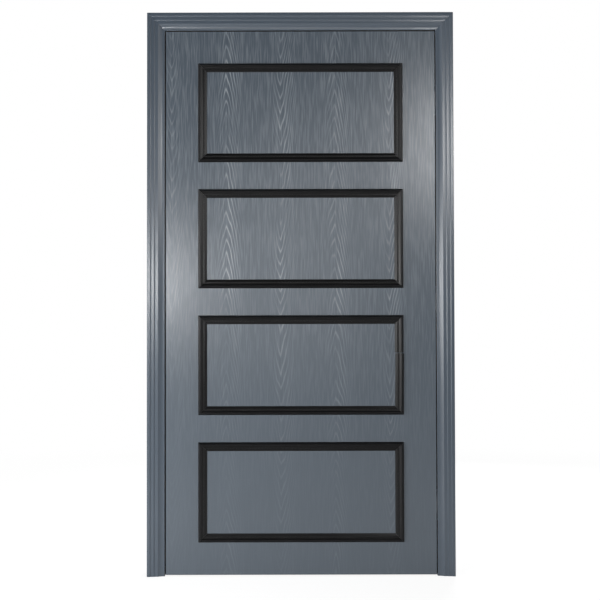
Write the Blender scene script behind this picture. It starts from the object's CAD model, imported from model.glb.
import math

import bmesh
import bpy
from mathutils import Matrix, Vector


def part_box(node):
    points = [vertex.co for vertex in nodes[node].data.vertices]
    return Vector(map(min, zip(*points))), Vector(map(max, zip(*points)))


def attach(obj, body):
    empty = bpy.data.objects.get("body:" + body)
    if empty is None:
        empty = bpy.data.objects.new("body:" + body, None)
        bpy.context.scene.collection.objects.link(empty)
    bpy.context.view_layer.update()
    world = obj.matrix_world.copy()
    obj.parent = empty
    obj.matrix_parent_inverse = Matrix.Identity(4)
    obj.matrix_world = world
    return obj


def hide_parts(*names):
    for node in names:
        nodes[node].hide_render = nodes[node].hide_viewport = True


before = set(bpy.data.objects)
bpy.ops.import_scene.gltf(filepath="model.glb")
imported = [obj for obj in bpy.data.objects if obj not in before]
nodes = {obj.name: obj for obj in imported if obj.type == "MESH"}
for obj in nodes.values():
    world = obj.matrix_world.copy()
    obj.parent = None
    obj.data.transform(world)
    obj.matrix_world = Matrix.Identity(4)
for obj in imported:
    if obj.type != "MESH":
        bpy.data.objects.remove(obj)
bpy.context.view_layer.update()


# Lining. Three lengths of medium-density board, rebated in one piece with their stop, butted
# under the head and screwed; the right one is mortised for the hinges. Sprayed with satin lacquer.

RIPPLE = 0.004         # metres across one ripple of the spray
RIPPLE_DEPTH = 0.0002


def linear(code):
    """Linear colour, with alpha, of an sRGB hex code."""
    shares = [int(code[i:i + 2], 16) / 255 for i in (1, 3, 5)]
    curve = [s / 12.92 if s <= 0.04045 else ((s + 0.055) / 1.055) ** 2.4 for s in shares]
    return (*curve, 1.0)


def add(tree, kind, inputs=None, **settings):
    """Adds a node with its settings; an input takes a value, a socket or a node's first output."""
    node = tree.nodes.new(kind)
    for name, value in settings.items():
        setattr(node, name, value)
    for name, value in (inputs or {}).items():
        if isinstance(value, bpy.types.Node):
            value = value.outputs[0]
        if isinstance(value, bpy.types.NodeSocket):
            tree.links.new(value, node.inputs[name])
        else:
            node.inputs[name].default_value = value
    return node


def material(name, colour, roughness, metallic=0.0):
    """A material with its constants on the shader; returns it with its tree and shader."""
    mat = bpy.data.materials.new(name)
    mat.use_nodes = True
    shader = mat.node_tree.nodes["Principled BSDF"]
    shader.inputs["Base Color"].default_value = linear(colour)
    shader.inputs["Roughness"].default_value = roughness
    shader.inputs["Metallic"].default_value = metallic
    return mat, mat.node_tree, shader


def dress(mat, names):
    """Gives the material to CAD nodes, which keep their own mesh."""
    for name in names:
        for slot in nodes[name].material_slots:
            slot.material = mat


# Satin lacquer: an even blue grey, smooth, with the faint ripple a spray gun leaves.
lacquer, tree, shader = material("satin_lacquer", "#434D58", 0.25)
shader.inputs["Specular IOR Level"].default_value = 0.8
place = add(tree, "ShaderNodeTexCoord").outputs["Object"]
ripple = add(tree, "ShaderNodeTexNoise", {"Vector": place, "Scale": 1 / RIPPLE, "Detail": 1.0})
bump = add(tree, "ShaderNodeBump", {"Height": ripple, "Strength": 0.12, "Distance": RIPPLE_DEPTH})
tree.links.new(bump.outputs[0], shader.inputs["Normal"])
dress(lacquer, ["left_jamb", "right_jamb", "head_jamb"])


# Seals. Soft black rubber tubes with a lip, pushed into a groove in the stop so that the leaf
# shuts against them.

DUST = 0.02            # metres across one dusty patch

# Seal rubber: a flat black, a little duller where dust clings to it.
rubber, tree, shader = material("seal_rubber", "#161718", 0.72)
place = add(tree, "ShaderNodeTexCoord").outputs["Object"]
dust = add(tree, "ShaderNodeTexNoise", {"Vector": place, "Scale": 1 / DUST, "Detail": 3.0})
dull = add(tree, "ShaderNodeMapRange", {"Value": dust, "To Min": 0.64, "To Max": 0.82})
tree.links.new(dull.outputs[0], shader.inputs["Roughness"])
dress(rubber, ["left_seal", "right_seal", "head_seal"])


# Architraves. Board moulded with three stepped bands and a cove that falls to a thin lip at the
# opening, mitred at the top corners, glued into the lining; the same satin lacquer.

ARRIS = 0.00025                 # metres taken off a sharp edge of the board
CREASE = math.radians(16)       # edges that turn more than this are sharp
FLAT = math.radians(0.5)        # faces that turn less than this are one face
MERGE = 1e-6                    # metres within which two points are one


def finished(name, node, width=ARRIS):
    """A merged copy of a CAD node's mesh with its sharp edges eased, in place of that node."""
    mesh = nodes[node].data.copy()
    mesh.name = name
    shape = bmesh.new()
    shape.from_mesh(mesh)
    bmesh.ops.remove_doubles(shape, verts=shape.verts, dist=MERGE)
    bmesh.ops.dissolve_limit(shape, angle_limit=FLAT, verts=shape.verts, edges=shape.edges)
    shape.to_mesh(mesh)
    shape.free()
    if "custom_normal" in mesh.attributes:
        mesh.attributes.remove(mesh.attributes["custom_normal"])
    mesh.materials.clear()
    piece = bpy.data.objects.new(name, mesh)
    bpy.context.scene.collection.objects.link(piece)
    mesh.shade_smooth()
    mesh.set_sharp_from_angle(angle=CREASE)
    ease = piece.modifiers.new("eased_edges", "BEVEL")
    ease.width = width
    ease.segments = 2
    ease.limit_method = "ANGLE"
    ease.angle_limit = CREASE
    ease.harden_normals = True
    return piece


for face in ("front", "back"):
    for side in ("left", "right", "head"):
        node = f"{face}_architrave_{side}"
        piece = finished(f"{node}_finished", node)
        piece.data.materials.append(lacquer)
        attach(piece, "frame")
        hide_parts(node)


# Leaf frame and core. Softwood stiles and rails glued up round a tubular chipboard core; bare
# wood, seen only at the leaf's edges when it stands open.

RING_W = 0.004         # metres between growth rings
RING_L = 0.30          # metres along the grain before a ring changes
FLAKE = 0.004          # metres across one flake of chipboard

# Bare pine: pale yellow wood with darker growth rings drawn out along the grain.
pine, tree, shader = material("bare_pine", "#C9A273", 0.62)
place = add(tree, "ShaderNodeTexCoord").outputs["Object"]
drawn_out = add(tree, "ShaderNodeMapping", {
    "Vector": place, "Scale": (1 / RING_W, 1 / RING_W, 1 / RING_L)})
growth = add(tree, "ShaderNodeTexNoise", {
    "Vector": drawn_out, "Scale": 1.0, "Detail": 3.0, "Distortion": 0.4})
late_wood = add(tree, "ShaderNodeMapRange", {"Value": growth, "From Min": 0.35, "From Max": 0.7})
tint = add(tree, "ShaderNodeMix", {
    0: late_wood, 6: linear("#D3AF82"), 7: linear("#AF8452")}, data_type="RGBA")
tree.links.new(tint.outputs[2], shader.inputs["Base Color"])
dress(pine, ["hinge_stile", "lock_stile", "top_rail", "bottom_rail"])

# Chipboard: pressed flakes, pale and dark, a few millimetres each.
chipboard, tree, shader = material("chipboard", "#B08A5A", 0.8)
place = add(tree, "ShaderNodeTexCoord").outputs["Object"]
flakes = add(tree, "ShaderNodeTexVoronoi", {"Vector": place, "Scale": 1 / FLAKE})
tint = add(tree, "ShaderNodeMix", {
    0: flakes.outputs["Color"], 6: linear("#C7A473"), 7: linear("#8E6A41")}, data_type="RGBA")
tree.links.new(tint.outputs[2], shader.inputs["Base Color"])
dress(chipboard, ["core"])


# Skins. Thin pressed board on both faces, embossed with the figure of ash: columns of nested
# arches that point down and up by turns, then sprayed; the grain runs on under the mouldings.

SKIN_ARRIS = 0.0008
REPEAT = 0.398         # metres between columns of arches that point the same way
VALLEY = -0.073        # where across the door a column points down
TIP = 0.055            # metres from one arch to the next inside it
FAN = 3.6              # lines that a column's straight flanks climb in a radian
SWEEP = 7.5            # lines that its curved flanks climb in all
ROUND = 0.9998         # just short of 1, so that tips are pointed but unbroken
LINE_EDGE = 6.0        # the higher, the thinner a line
COLUMN_EDGE = 5.0      # the higher, the closer lines keep to the middle of a column
PATCH_W, PATCH_L = 0.05, 0.30       # metres across and along a patch of deeper lines
PORE_W, PORE_L = 0.0038, 0.07       # metres across and along a pore
PORE_HEIGHT = 0.26                  # as a share of a full line's
PLAIN_STILE = (-0.42, -0.36, 0.35, 1.0)     # from x to x, lines rise from one share to another
PLAIN_CROWN = (1.86, 1.92, 1.0, 0.5)        # from z to z, they fall
WORN_FOOT = (0.4, 1.5, 0.12, 1.0)           # from z to z, lines and pores rise
MEAN_RELIEF = 0.09                  # the relief that wear levels the grain towards,
PALENESS = 0.16                     # and how pale that looks
EMBOSSED = 0.0005                   # metres that a line stands up

# Grained paint: a satin blue grey; its raised grain lines look paler and shine more, they fade
# towards the foot of the door, and they are fainter on the left stile and the top rail. The lines
# and pores are drawn a few times as wide as real ones so that they show.
skin, tree, shader = material("embossed_grey_paint", "#414950", 0.26)
shader.inputs["Specular IOR Level"].default_value = 0.75
place = add(tree, "ShaderNodeTexCoord").outputs["Object"]
axes = add(tree, "ShaderNodeSeparateXYZ", {0: place})

# Where a point lies across its column, and how many lines up: whole numbers are crests.
turn = add(tree, "ShaderNodeMath", {
    0: axes.outputs[0], 1: math.tau / REPEAT, 2: -math.tau * VALLEY / REPEAT - math.pi / 2},
    operation="MULTIPLY_ADD")
swing = add(tree, "ShaderNodeMath", {0: turn}, operation="SINE")
blunt = add(tree, "ShaderNodeMath", {0: swing, 1: ROUND}, operation="MULTIPLY")
peak = add(tree, "ShaderNodeMath", {0: blunt}, operation="ARCSINE")
phase = add(tree, "ShaderNodeMath", {0: axes.outputs[2], 1: -1 / TIP}, operation="MULTIPLY")
phase = add(tree, "ShaderNodeMath", {0: peak, 1: FAN, 2: phase}, operation="MULTIPLY_ADD")
phase = add(tree, "ShaderNodeMath", {0: swing, 1: SWEEP, 2: phase}, operation="MULTIPLY_ADD")
for across, along, lines in ((0.10, 0.50, 4.0), (0.025, 0.12, 1.0)):
    drawn_out = add(tree, "ShaderNodeMapping", {
        "Vector": place, "Scale": (1 / across, 1 / across, 1 / along)})
    stray = add(tree, "ShaderNodeTexNoise", {"Vector": drawn_out, "Scale": 1.0, "Detail": 1.0})
    phase = add(tree, "ShaderNodeMath", {0: stray, 1: lines, 2: phase}, operation="MULTIPLY_ADD")
angle = add(tree, "ShaderNodeMath", {0: phase, 1: math.tau}, operation="MULTIPLY")
wave = add(tree, "ShaderNodeMath", {0: angle}, operation="COSINE")
crest = add(tree, "ShaderNodeMapRange", {"Value": wave, "From Min": -1.0})
line = add(tree, "ShaderNodeMath", {0: crest, 1: LINE_EDGE}, operation="POWER")

# Lines are strongest in the middle of a column, on one flank, in patches and off the plain parts.
middle = add(tree, "ShaderNodeMath", {0: swing}, operation="ABSOLUTE")
near = add(tree, "ShaderNodeMath", {0: middle, 1: COLUMN_EDGE}, operation="POWER")
twice = add(tree, "ShaderNodeMath", {0: turn, 1: 2.0}, operation="MULTIPLY")
flank = add(tree, "ShaderNodeMath", {0: twice}, operation="SINE")
lean = add(tree, "ShaderNodeMapRange", {
    "Value": flank, "From Min": -1.0, "To Min": 1.35, "To Max": 0.15})
drawn_out = add(tree, "ShaderNodeMapping", {
    "Vector": place, "Scale": (1 / PATCH_W, 1 / PATCH_W, 1 / PATCH_L)})
patch = add(tree, "ShaderNodeTexNoise", {"Vector": drawn_out, "Scale": 1.0, "Detail": 2.0})
depth = add(tree, "ShaderNodeMapRange", {"Value": patch, "From Min": 0.30, "From Max": 0.60})
fades = []
for axis, (start, stop, first, last) in ((0, PLAIN_STILE), (2, PLAIN_CROWN), (2, WORN_FOOT)):
    fades.append(add(tree, "ShaderNodeMapRange", {
        "Value": axes.outputs[axis], "From Min": start, "From Max": stop,
        "To Min": first, "To Max": last}))
stile, crown, worn = fades
for share in (near, lean, depth, stile, crown):
    line = add(tree, "ShaderNodeMath", {0: line, 1: share}, operation="MULTIPLY")

# Pores join the lines, both wear down towards the foot, and the relief gives tint, shine and bump.
drawn_out = add(tree, "ShaderNodeMapping", {
    "Vector": place, "Scale": (1 / PORE_W, 1 / PORE_W, 1 / PORE_L)})
speckle = add(tree, "ShaderNodeTexNoise", {"Vector": drawn_out, "Scale": 1.0, "Detail": 1.0})
pores = add(tree, "ShaderNodeMapRange", {"Value": speckle, "From Min": 0.42, "From Max": 0.72})
relief = add(tree, "ShaderNodeMath", {0: pores, 1: PORE_HEIGHT, 2: line}, operation="MULTIPLY_ADD")
relief = add(tree, "ShaderNodeMath", {0: relief, 1: MEAN_RELIEF}, operation="SUBTRACT")
relief = add(tree, "ShaderNodeMath", {0: relief, 1: worn, 2: PALENESS}, operation="MULTIPLY_ADD")
tint = add(tree, "ShaderNodeMix", {
    0: relief, 6: linear("#3B4550"), 7: linear("#868D93")}, data_type="RGBA")
tree.links.new(tint.outputs[2], shader.inputs["Base Color"])
shine = add(tree, "ShaderNodeMapRange", {"Value": relief, "To Min": 0.275, "To Max": 0.20})
tree.links.new(shine.outputs[0], shader.inputs["Roughness"])
bump = add(tree, "ShaderNodeBump", {"Height": relief, "Strength": 0.35, "Distance": EMBOSSED})
tree.links.new(bump.outputs[0], shader.inputs["Normal"])

for face in ("front", "back"):
    piece = finished(f"{face}_skin_embossed", f"{face}_skin", SKIN_ARRIS)
    piece.data.materials.append(skin)
    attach(piece, "leaf")
    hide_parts(f"{face}_skin")


# Mouldings. Sticks of board wrapped in black grained foil, a round bead on the outer side and a
# flat that falls to the panel, mitred into frames and glued on the skins.

PANELS = 4
STICK_ARRIS = 0.0003
STREAK_W = 0.0048      # metres across a streak of the foil
STREAK_L = 0.10        # metres along it
STREAK_DEPTH = 0.0004

foils = {}
for lie, gloss, stretch in (
        ("upright", 0.32, (1 / STREAK_W, 1 / STREAK_W, 1 / STREAK_L)),
        ("level", 0.20, (1 / STREAK_L, 1 / STREAK_W, 1 / STREAK_W))):
    # Black foil: a near black with raised streaks along the stick that catch a grey glint. Real
    # ones are about 1 mm across; these are drawn nearly five times as wide so that they show.
    foil, tree, shader = material(f"black_foil_{lie}", "#0E0E0F", 0.28)
    shader.inputs["Specular IOR Level"].default_value = gloss
    place = add(tree, "ShaderNodeTexCoord").outputs["Object"]
    drawn_out = add(tree, "ShaderNodeMapping", {"Vector": place, "Scale": stretch})
    streak = add(tree, "ShaderNodeTexNoise", {"Vector": drawn_out, "Scale": 1.0, "Detail": 2.0})
    grain = add(tree, "ShaderNodeMapRange", {"Value": streak, "From Min": 0.35, "From Max": 0.65})
    tint = add(tree, "ShaderNodeMix", {
        0: grain, 6: linear("#0A0A0B"), 7: linear("#141415")}, data_type="RGBA")
    tree.links.new(tint.outputs[2], shader.inputs["Base Color"])
    bump = add(tree, "ShaderNodeBump", {
        "Height": grain, "Strength": 0.18, "Distance": STREAK_DEPTH})
    tree.links.new(bump.outputs[0], shader.inputs["Normal"])
    foils[lie] = foil

sticks = [n for n in nodes if n.endswith("_moulding") and "_back_" not in n]
for node in sticks:
    lie = "level" if node.split("_")[2] in ("top", "bottom") else "upright"
    piece = finished(f"{node}_foiled", node, STICK_ARRIS)
    piece.data.materials.append(foils[lie])
    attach(piece, "leaf")
    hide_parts(node)

# On the back all four sticks of a frame are one node; a face nearer the frame's top or bottom
# edge than its sides belongs to a level stick.
for number in range(1, PANELS + 1):
    node = f"panel_{number}_back_moulding"
    piece = finished(f"{node}_foiled", node, STICK_ARRIS)
    piece.data.materials.append(foils["upright"])
    piece.data.materials.append(foils["level"])
    lo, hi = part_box(node)
    for facet in piece.data.polygons:
        inset_x = min(facet.center.x - lo[0], hi[0] - facet.center.x)
        inset_z = min(facet.center.z - lo[2], hi[2] - facet.center.z)
        facet.material_index = 1 if inset_z < inset_x else 0
    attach(piece, "leaf")
    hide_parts(node)


# Hinges. Concealed: a cast zinc cup let into the jamb and one into the leaf's edge, joined by a
# slotted link on two steel pins; three to the door.

GRIT = 0.0012          # metres across the grain of the casting
GRIT_DEPTH = 0.0002
TOOL_MARK = 0.0008     # metres between the marks of the lathe
TOOL_REACH = 0.025     # metres round the pin before a mark changes

# Cast zinc: a mid grey metal with the fine sandy skin of a casting, drawn coarse so that it shows.
zinc, tree, shader = material("cast_zinc", "#A6A9AB", 0.38, 1.0)
place = add(tree, "ShaderNodeTexCoord").outputs["Object"]
grit = add(tree, "ShaderNodeTexNoise", {"Vector": place, "Scale": 1 / GRIT, "Detail": 2.0})
bump = add(tree, "ShaderNodeBump", {"Height": grit, "Strength": 0.2, "Distance": GRIT_DEPTH})
tree.links.new(bump.outputs[0], shader.inputs["Normal"])
dress(zinc, [n for n in nodes if n.endswith(("_cup", "_link"))])

# Turned steel: brighter than the castings, with fine rings round the pin. Real ones are a tenth of
# a millimetre or so apart; these are drawn several times as wide so that they show.
steel, tree, shader = material("bright_steel", "#C4C6C8", 0.24, 1.0)
place = add(tree, "ShaderNodeTexCoord").outputs["Object"]
drawn_out = add(tree, "ShaderNodeMapping", {
    "Vector": place, "Scale": (1 / TOOL_REACH, 1 / TOOL_REACH, 1 / TOOL_MARK)})
marks = add(tree, "ShaderNodeTexNoise", {"Vector": drawn_out, "Scale": 1.0, "Detail": 1.0})
polish = add(tree, "ShaderNodeMapRange", {"Value": marks, "To Min": 0.18, "To Max": 0.32})
tree.links.new(polish.outputs[0], shader.inputs["Roughness"])
dress(steel, [n for n in nodes if n.endswith("_pin")] + ["frame_corner_screws"])


# Hinge screws. Countersunk steel screws with a cross recess and a coarse wood thread, two to a
# cup, driven through the cup's tabs into the jamb and into the leaf's stile.

HINGES = 3
SCREW_L = 0.028        # metres, as all the sizes below
SHANK_R = 0.002
HEAD_R = 0.004
HEAD_T = 0.0026
HEAD_RIM = 0.0002
TIP_L = 0.004
PITCH = 0.0018
NECK = 0.75            # radius under the head, as a share of the shank's
ROOT = 0.70            # radius at the thread's root, as a share of the shank's
CREST = 0.28           # and what the thread adds to it
ARM = 0.0022           # length of the cross recess from the middle
HALF = 0.0005          # half the width of its arms
SINK = 0.0014
RECESS_TAPER = 0.7     # size of the recess at its floor, as a share of the top
SIDES = 20             # points in a ring
ROWS_PER_TURN = 5      # rings in one turn of the thread
SCREW_CREASE = math.radians(40)

shape = bmesh.new()
rows = [(0.0, HEAD_R - HEAD_RIM), (HEAD_RIM, HEAD_R), (2 * HEAD_RIM, HEAD_R),
        (HEAD_T, SHANK_R * NECK)]
steps = int((SCREW_L - HEAD_T) / PITCH * ROWS_PER_TURN)
rows += [(HEAD_T + (SCREW_L - HEAD_T) * (i + 1) / steps, None) for i in range(steps)]
rings = []
for sunk, radius in rows:
    ring = []
    for k in range(SIDES):
        angle = math.tau * k / SIDES
        r = radius
        if r is None:
            ridge = abs(((sunk / PITCH - k / SIDES) % 1.0) - 0.5) * 2
            taper = min(1.0, max(0.0, (SCREW_L - sunk) / TIP_L))
            r = SHANK_R * taper * (ROOT + CREST * ridge ** 2)
        ring.append(shape.verts.new((sunk, r * math.cos(angle), r * math.sin(angle))))
    rings.append(ring)
for one, two in zip(rings, rings[1:]):
    for k in range(SIDES):
        shape.faces.new((one[k], two[k], two[(k + 1) % SIDES], one[(k + 1) % SIDES]))

cross = [(ARM, -HALF), (ARM, HALF), (HALF, HALF), (HALF, ARM), (-HALF, ARM), (-HALF, HALF),
         (-ARM, HALF), (-ARM, -HALF), (-HALF, -HALF), (-HALF, -ARM), (HALF, -ARM), (HALF, -HALF)]
corners = len(cross)
rim = [shape.verts.new((0.0, y, z)) for y, z in cross]
base = [shape.verts.new((SINK, y * RECESS_TAPER, z * RECESS_TAPER)) for y, z in cross]
top_edges = [shape.edges.get((rings[0][k], rings[0][(k + 1) % SIDES])) for k in range(SIDES)]
rim_edges = [shape.edges.new((rim[k], rim[(k + 1) % corners])) for k in range(corners)]
bmesh.ops.triangle_fill(shape, use_beauty=True, edges=top_edges + rim_edges)
for k in range(corners):
    shape.faces.new((rim[k], rim[(k + 1) % corners], base[(k + 1) % corners], base[k]))
shape.faces.new(base)
bmesh.ops.remove_doubles(shape, verts=shape.verts, dist=MERGE)
bmesh.ops.recalc_face_normals(shape, faces=shape.faces)
screw_mesh = bpy.data.meshes.new("wood_screw")
shape.to_mesh(screw_mesh)
shape.free()
screw_mesh.shade_smooth()
screw_mesh.set_sharp_from_angle(angle=SCREW_CREASE)
screw = bpy.data.objects.new("wood_screw", screw_mesh)

group = bpy.data.node_groups.new("screws_in_cups", "GeometryNodeTree")
for label, kind in (
        ("Screw", "NodeSocketObject"),
        ("First", "NodeSocketVector"),
        ("Hinges", "NodeSocketInt"),
        ("Hinge spacing", "NodeSocketFloat"),
        ("Tab spacing", "NodeSocketFloat"),
        ("Turn", "NodeSocketRotation"),
        ("Material", "NodeSocketMaterial")):
    group.interface.new_socket(label, in_out="INPUT", socket_type=kind)
group.interface.new_socket("Geometry", in_out="OUTPUT", socket_type="NodeSocketGeometry")
given = add(group, "NodeGroupInput")
to_next_hinge = add(group, "ShaderNodeCombineXYZ", {2: given.outputs["Hinge spacing"]})
to_upper_tab = add(group, "ShaderNodeCombineXYZ", {2: given.outputs["Tab spacing"]})
lower_tabs = add(group, "GeometryNodeMeshLine", {
    "Count": given.outputs["Hinges"], "Start Location": given.outputs["First"],
    "Offset": to_next_hinge})
upper_tabs = add(group, "GeometryNodeTransform", {
    "Geometry": lower_tabs, "Translation": to_upper_tab})
tabs = add(group, "GeometryNodeJoinGeometry", {0: lower_tabs})
group.links.new(upper_tabs.outputs[0], tabs.inputs[0])
source = add(group, "GeometryNodeObjectInfo", {"Object": given.outputs["Screw"]})
driven = add(group, "GeometryNodeInstanceOnPoints", {
    "Points": tabs, "Instance": source.outputs["Geometry"], "Rotation": given.outputs["Turn"]})
screws = add(group, "GeometryNodeRealizeInstances", {0: driven})
finished_screws = add(group, "GeometryNodeSetMaterial", {
    "Geometry": screws, "Material": given.outputs["Material"]})
add(group, "NodeGroupOutput", {0: finished_screws})
sockets = {item.name: item.identifier
           for item in group.interface.items_tree if item.in_out == "INPUT"}

hinge_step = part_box("middle_hinge_jamb_cup")[0][2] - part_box("bottom_hinge_jamb_cup")[0][2]
for node, body, turned in (
        ("jamb_hinge_screws", "frame", 0.0), ("leaf_hinge_screws", "leaf", math.pi)):
    lo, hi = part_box(node)
    first = (hi[0] if turned else lo[0], (lo[1] + hi[1]) / 2, lo[2] + HEAD_R)
    tab_step = hi[2] - lo[2] - 2 * HEAD_R - (HINGES - 1) * hinge_step
    holder = bpy.data.objects.new("holder", bpy.data.meshes.new("holder"))
    bpy.context.scene.collection.objects.link(holder)
    bpy.context.scene.collection.objects.link(screw)
    mod = holder.modifiers.new("screws", "NODES")
    mod.node_group = group
    for label, value in (
            ("Screw", screw), ("First", first), ("Hinges", HINGES), ("Hinge spacing", hinge_step),
            ("Tab spacing", tab_step), ("Turn", (0.0, 0.0, turned)), ("Material", steel)):
        mod[sockets[label]] = value
    holder.update_tag()
    bpy.context.view_layer.update()
    settled = holder.evaluated_get(bpy.context.evaluated_depsgraph_get())
    made = bpy.data.meshes.new_from_object(settled)
    bpy.data.objects.remove(holder)
    bpy.context.scene.collection.objects.unlink(screw)
    made.name = f"{node}_threaded"
    piece = bpy.data.objects.new(f"{node}_threaded", made)
    bpy.context.scene.collection.objects.link(piece)
    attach(piece, body)
    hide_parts(node)


# Floor and backdrop. A wide pale studio floor under plain white; to the camera it glows up to
# white, but near the door less of it glows and more is lit, so that it keeps the door's shadow.
# The door mirrors a pale glow from behind and from both sides, and little of the floor.

WHITE = (1.0, 1.0, 1.0, 1.0)
FLOOR_HALF = 15.0      # metres from the middle of the floor to its edge
NEAR, FAR = 1.0, 5.0   # metres from the door between which the floor turns to plain white
NEAR_SHARE = 0.72      # how much of the floor glows near the door,
NEAR_GLOW = 1.18       # and how brightly
FLOOR_MIRRORED = 0.20  # how much of it glows in the door's own sheen
AMBIENT = 0.10         # light from all round
SIDE_GLOW = 0.85       # brightness of the sides in the door's sheen
LOW_GLOW = 0.20        # and what is left of it below the horizon

# Studio paper: a matt white sheet.
paper, tree, shader = material("studio_floor_white", "#F4F4F4", 0.9)
place = add(tree, "ShaderNodeTexCoord").outputs["Object"]
distance = add(tree, "ShaderNodeVectorMath", {0: place}, operation="LENGTH").outputs["Value"]
near_share = add(tree, "ShaderNodeMapRange", {
    "Value": distance, "From Min": NEAR, "From Max": FAR, "To Min": NEAR_SHARE, "To Max": 1.0})
bright = add(tree, "ShaderNodeMapRange", {
    "Value": distance, "From Min": NEAR, "From Max": FAR, "To Min": NEAR_GLOW, "To Max": 1.0})
glow = add(tree, "ShaderNodeEmission", {"Color": WHITE, "Strength": bright})
sight = add(tree, "ShaderNodeLightPath")
share = add(tree, "ShaderNodeMath", {
    0: sight.outputs["Is Glossy Ray"], 1: FLOOR_MIRRORED}, operation="MULTIPLY")
share = add(tree, "ShaderNodeMath", {
    0: sight.outputs["Is Camera Ray"], 1: near_share, 2: share}, operation="MULTIPLY_ADD")
blend = add(tree, "ShaderNodeMixShader", {0: share, 1: shader, 2: glow})
tree.links.new(blend.outputs[0], tree.nodes["Material Output"].inputs["Surface"])

floor_corners = [(-FLOOR_HALF, -FLOOR_HALF, 0.0), (FLOOR_HALF, -FLOOR_HALF, 0.0),
                 (FLOOR_HALF, FLOOR_HALF, 0.0), (-FLOOR_HALF, FLOOR_HALF, 0.0)]
floor_mesh = bpy.data.meshes.new("studio_floor")
floor_mesh.from_pydata(floor_corners, [], [(0, 1, 2, 3)])
floor_mesh.materials.append(paper)
floor = bpy.data.objects.new("studio_floor", floor_mesh)
bpy.context.scene.collection.objects.link(floor)

world = bpy.data.worlds.new("studio")
bpy.context.scene.world = world
world.use_nodes = True
tree = world.node_tree
outward = add(tree, "ShaderNodeTexCoord").outputs["Generated"]
heading = add(tree, "ShaderNodeSeparateXYZ", {0: outward})
behind = add(tree, "ShaderNodeMapRange", {
    "Value": heading.outputs[1], "From Min": -0.1, "From Max": 0.5})
sideways = add(tree, "ShaderNodeMath", {0: heading.outputs[0]}, operation="ABSOLUTE")
beside = add(tree, "ShaderNodeMapRange", {
    "Value": sideways, "From Min": 0.45, "From Max": 0.85, "To Max": SIDE_GLOW})
upward = add(tree, "ShaderNodeMapRange", {
    "Value": heading.outputs[2], "From Min": -0.14, "From Max": 0.0, "To Min": LOW_GLOW})
beside = add(tree, "ShaderNodeMath", {0: beside, 1: upward}, operation="MULTIPLY")
around = add(tree, "ShaderNodeMath", {0: behind, 1: beside}, operation="MAXIMUM")
sight = add(tree, "ShaderNodeLightPath")
mirrored = add(tree, "ShaderNodeMath", {
    0: sight.outputs["Is Glossy Ray"], 1: around}, operation="MULTIPLY")
straight = add(tree, "ShaderNodeMath", {
    0: sight.outputs["Is Camera Ray"], 1: sight.outputs["Is Transmission Ray"]},
    operation="MAXIMUM")
seen = add(tree, "ShaderNodeMath", {0: straight, 1: mirrored}, operation="MAXIMUM")
strength = add(tree, "ShaderNodeMapRange", {"Value": seen, "To Min": AMBIENT})
backdrop = tree.nodes["Background"]
backdrop.inputs["Color"].default_value = WHITE
tree.links.new(strength.outputs[0], backdrop.inputs["Strength"])


# Lamps and camera. Boxes beside the camera give the two sheens, side strips light the coves and
# beads, a far window draws shadows, and weak boxes fill the front, the left foot and the back.
# The window and the low box aren't mirrored, or the leaf would glare when seen from the side.

UNMIRRORED = ("window", "low_box")
LENS_MM = 74.0
SENSOR_MM = 36.0
CAMERA_AT = (-0.0026, -4.57, 0.900)
LOOK_UP = math.radians(1.32)
ROLL = math.radians(0.13)

for name, spot, aim, size, watts in (
        ("left_box", (-0.95, -2.97, 1.19), (-0.40, 0.0, 1.10), (0.30, 0.30), 10.8),
        ("right_box", (0.95, -2.97, 1.98), (0.40, 0.0, 1.50), (0.30, 0.58), 10.6),
        ("left_strip", (-2.60, -1.90, 1.19), (0.0, 0.0, 1.10), (3.40, 0.80), 54.0),
        ("right_strip", (2.60, -1.90, 1.98), (0.0, 0.0, 1.50), (3.40, 0.80), 20.0),
        ("window", (-7.00, -3.80, 1.50), (0.0, 0.0, 1.00), (3.40, 2.60), 160.0),
        ("front_box", (0.00, -5.20, 1.55), (0.0, 0.0, 1.20), (1.00, 1.70), 12.0),
        ("low_box", (-1.30, -1.20, 0.35), (-0.40, 0.0, 0.10), (0.80, 0.40), 8.5),
        ("back_box", (0.90, 3.40, 1.90), (0.0, 0.0, 1.00), (1.20, 1.20), 90.0)):
    lamp = bpy.data.lights.new(name, "AREA")
    lamp.energy = watts
    lamp.shape = "RECTANGLE"
    lamp.size, lamp.size_y = size
    held = bpy.data.objects.new(name, lamp)
    held.location = spot
    away = [a - s for a, s in zip(aim, spot)]
    tilt = math.atan2(math.hypot(away[0], away[1]), -away[2])
    held.rotation_euler = (tilt, 0.0, math.atan2(away[1], away[0]) - math.pi / 2)
    held.visible_camera = False
    held.visible_glossy = name not in UNMIRRORED
    bpy.context.scene.collection.objects.link(held)

lens = bpy.data.cameras.new("camera")
lens.lens = LENS_MM
lens.sensor_width = SENSOR_MM
camera = bpy.data.objects.new("camera", lens)
camera.location = CAMERA_AT
camera.rotation_euler = (math.pi / 2 + LOOK_UP, ROLL, 0.0)
bpy.context.scene.collection.objects.link(camera)
bpy.context.scene.camera = camera
bpy.context.scene.view_settings.view_transform = "Standard"
